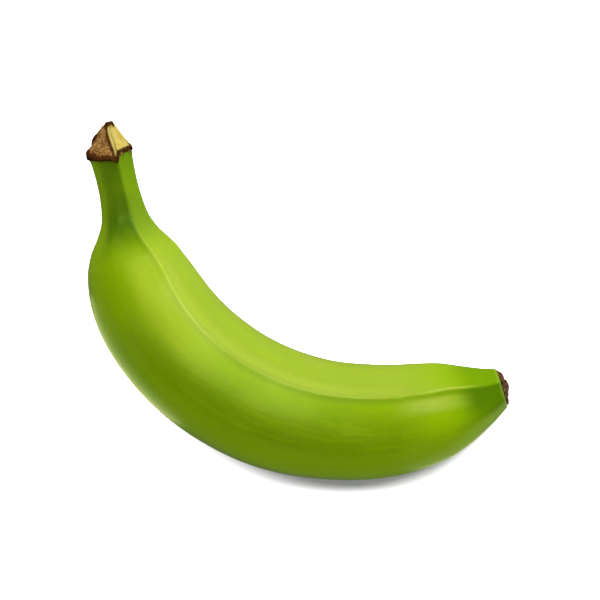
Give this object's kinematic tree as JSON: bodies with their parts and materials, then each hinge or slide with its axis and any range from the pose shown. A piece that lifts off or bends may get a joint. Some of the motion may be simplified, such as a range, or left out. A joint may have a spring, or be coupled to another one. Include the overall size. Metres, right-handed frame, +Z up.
{
  "type": "plantain",
  "caption": "Green unripe plantain lying on its side, with lengthwise ridges, a torn crown on its stalk and a dry blossom scar.",
  "frame": {"origin": "on the surface the fruit lies on, under the middle of its outline box", "axes": "+Z up, with the fruit's bend lying level; +X along the longest side of the outline box, towards the blossom end; +Y towards the stalk's end"},
  "size_m": [0.1714, 0.1448, 0.0483],
  "materials": {
    "peel": "satin, waxy green peel; dry brown crown and scar"
  },
  "bodies": {
    "root": {"plantain": "peel"}
  },
  "joints": []
}
